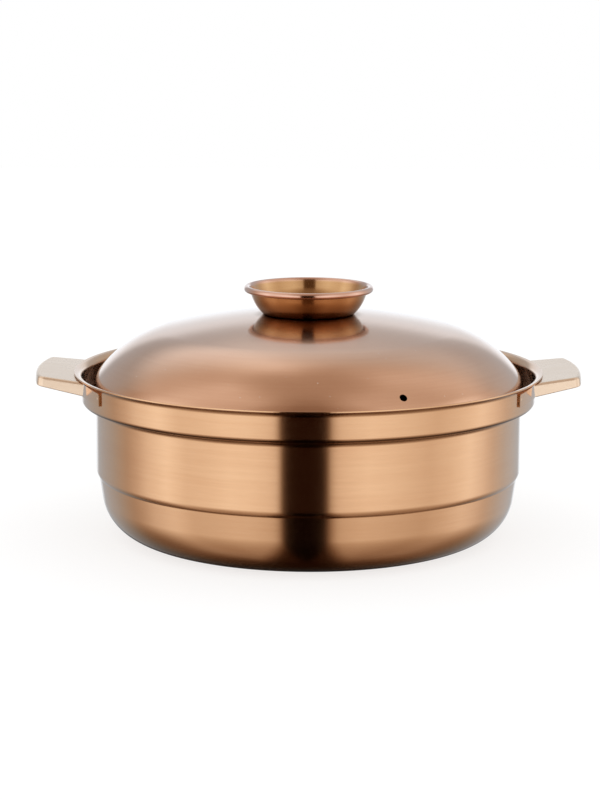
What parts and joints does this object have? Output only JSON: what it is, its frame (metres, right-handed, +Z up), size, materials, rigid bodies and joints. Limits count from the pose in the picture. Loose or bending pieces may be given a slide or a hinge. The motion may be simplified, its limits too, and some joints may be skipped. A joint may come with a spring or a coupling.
{
  "type": "casserole_pot_with_lid",
  "caption": "Shallow round casserole in drawn sheet metal: stepped wall, flared lip, welded channel handles, and a dome lid on an inner ledge with a cup-shaped knob.",
  "frame": {"origin": "middle of the flat base, where the pot rests", "axes": "+X from the left handle to the right handle, +Y away from a viewer who faces the pot between its handles, +Z up along the common axis of pot, lid and knob"},
  "size_m": [0.3612, 0.3104, 0.1663],
  "materials": {
    "copper_coated_steel": "stainless sheet with a copper-coloured coating, finely brushed round the axis",
    "plain_steel": "plain bright stainless fasteners"
  },
  "bodies": {
    "pot": {"pot_shell": "copper_coated_steel", "handle_left": "copper_coated_steel", "handle_right": "copper_coated_steel"},
    "lid": {"lid_shell": "copper_coated_steel", "knob_cup": "copper_coated_steel", "knob_screw": "plain_steel", "cup_washer": "plain_steel", "lid_washer": "plain_steel", "lock_washer": "plain_steel", "cap_nut": "plain_steel"}
  },
  "joints": [
    {"name": "lid_lift", "type": "slide", "parent": "pot", "child": "lid", "axis": [0, 0, 1], "range_m": [0, 0.15]}
  ]
}
